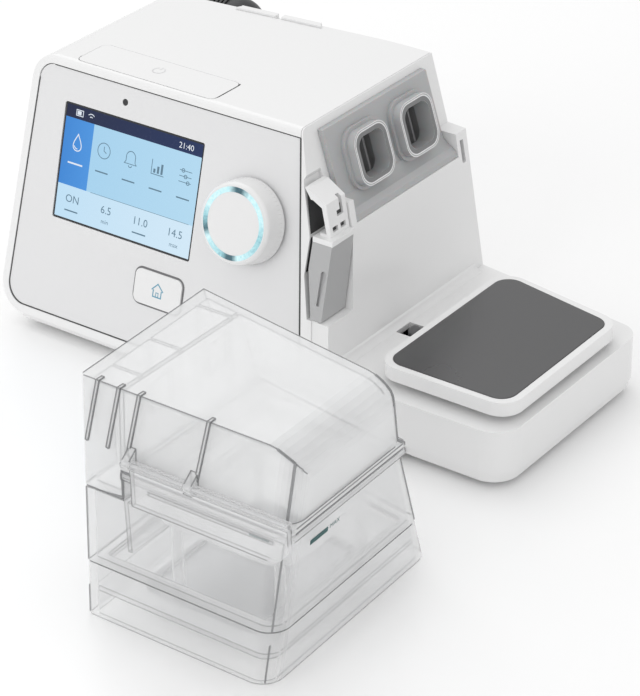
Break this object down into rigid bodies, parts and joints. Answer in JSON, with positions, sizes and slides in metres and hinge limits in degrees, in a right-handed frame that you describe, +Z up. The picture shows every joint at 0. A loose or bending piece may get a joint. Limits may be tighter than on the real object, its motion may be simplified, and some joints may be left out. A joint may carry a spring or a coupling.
{
  "type": "bilevel pap machine",
  "caption": "Home breathing-therapy unit with colour display, dial, home key, start bar, heated docking base, rear hose elbow and a lift-out clear water chamber.",
  "frame": {"origin": "on the surface it stands on, under the middle of the set of unit and water chamber", "axes": "+Z up, +X to the right as seen from the front, +Y from the front to the back"},
  "size_m": [0.2676, 0.2928, 0.117],
  "materials": {
    "white_shell": "satin",
    "pale_panel": "fine satin",
    "dark_plastic": "satin",
    "grey_silicone": "smooth, slightly see-through",
    "clear_plastic": "clear, polished",
    "steel": "brushed",
    "heater_black": "coated metal, satin",
    "screen_glass": "glossy, lit",
    "ring_glow": "glossy, lit",
    "board_green": "satin",
    "mark_ink": "printed",
    "filter_mat": "fibre",
    "sensor_grey": "satin",
    "key_white": "satin",
    "plate_steel": "brushed",
    "duct_grey": "satin"
  },
  "bodies": {
    "unit": {"main_shell": "white_shell", "fascia": "pale_panel", "dock_case": "white_shell", "lower_tray": "white_shell", "feet": "dark_plastic", "case_screws": "steel", "screen_lens": "screen_glass", "display_module": "dark_plastic", "light_sensor": "dark_plastic", "knob_encoder": "dark_plastic", "button_switches": "dark_plastic", "port_gasket": "grey_silicone", "air_ducts": "duct_grey", "latch_pin": "steel", "heater_springs": "steel", "sensor_guide": "dark_plastic", "blower_volute": "duct_grey", "blower_motor": "steel", "blower_mounts": "grey_silicone", "pressure_duct": "duct_grey", "return_duct": "duct_grey", "main_board": "board_green", "power_board": "board_green", "power_inlet": "dark_plastic", "outlet_collar": "dark_plastic", "air_filter": "filter_mat", "card_reader": "dark_plastic"},
    "knob_stem": {"knob_shaft": "dark_plastic"},
    "knob_body": {"knob": "key_white", "knob_ring": "ring_glow"},
    "home_key": {"home_button": "key_white"},
    "start_key": {"start_bar": "white_shell"},
    "latch": {"latch_lever": "white_shell", "latch_grip": "grey_silicone"},
    "heater": {"heater_frame": "white_shell", "heater_plate": "heater_black"},
    "plunger": {"chamber_sensor": "sensor_grey"},
    "fan": {"impeller": "key_white"},
    "elbow": {"outlet_elbow": "dark_plastic"},
    "cover": {"filter_cover": "white_shell"},
    "card": {"memory_card": "dark_plastic"},
    "chamber": {"tank_base": "clear_plastic", "tank_body": "clear_plastic", "tank_plate": "plate_steel", "tank_seal": "grey_silicone", "splash_baffle": "clear_plastic", "level_marks": "mark_ink", "lid_hinge_pin": "steel"},
    "lid": {"chamber_lid": "clear_plastic", "catch_pin": "steel"},
    "flap": {"lid_catch": "clear_plastic"}
  },
  "joints": [
    {"name": "knob_push", "type": "slide", "parent": "unit", "child": "knob_stem", "axis": [0, 0.9627, -0.2706], "range_m": [0, 0.0008], "stiffness_N_per_m": 1500},
    {"name": "knob_turn", "type": "hinge", "parent": "knob_stem", "child": "knob_body", "pos_m": [-0.00934, 0.0206, 0.07535], "axis": [0, -0.9627, 0.2706], "continuous": true},
    {"name": "home_press", "type": "slide", "parent": "unit", "child": "home_key", "axis": [0, 0.9627, -0.2706], "range_m": [0, 0.0008], "stiffness_N_per_m": 1500},
    {"name": "start_press", "type": "slide", "parent": "unit", "child": "start_key", "axis": [0, 0, -1], "range_m": [0, 0.001], "stiffness_N_per_m": 1500},
    {"name": "latch_swing", "type": "hinge", "parent": "unit", "child": "latch", "pos_m": [0.02468, 0.03018, 0.07], "axis": [0, 1, 0], "range_deg": [0, 3], "stiffness_Nm_per_rad": 0.5, "springref_deg": -2.86},
    {"name": "heater_press", "type": "slide", "parent": "unit", "child": "heater", "axis": [0, 0, -1], "range_m": [0, 0.002], "stiffness_N_per_m": 3000, "deforming": ["heater_springs"]},
    {"name": "plunger_press", "type": "slide", "parent": "unit", "child": "plunger", "axis": [0, 0, -1], "range_m": [0, 0.0025], "stiffness_N_per_m": 400},
    {"name": "fan_spin", "type": "hinge", "parent": "unit", "child": "fan", "pos_m": [-0.06384, 0.07818, 0.028], "axis": [0, 0, 1], "continuous": true},
    {"name": "elbow_swivel", "type": "hinge", "parent": "unit", "child": "elbow", "pos_m": [-0.10185, 0.12818, 0.098], "axis": [0, 1, 0], "continuous": true},
    {"name": "cover_slide", "type": "slide", "parent": "unit", "child": "cover", "axis": [0, 0, 1], "range_m": [0, 0.042]},
    {"name": "card_slide", "type": "slide", "parent": "unit", "child": "card", "axis": [-1, 0, 0], "range_m": [0, 0.015]},
    {"name": "chamber_lift", "type": "slide", "parent": "unit", "child": "chamber", "axis": [0, 0, 1], "range_m": [0, 0.15]},
    {"name": "lid_hinge", "type": "hinge", "parent": "chamber", "child": "lid", "pos_m": [0.04188, -0.05449, 0.066], "axis": [-0.9863, 0.165, 0], "range_deg": [0, 95]},
    {"name": "flap_hinge", "type": "hinge", "parent": "lid", "child": "flap", "pos_m": [0.09915, -0.14457, 0.0715], "axis": [-1, 0, 0], "range_deg": [0, 35]}
  ]
}
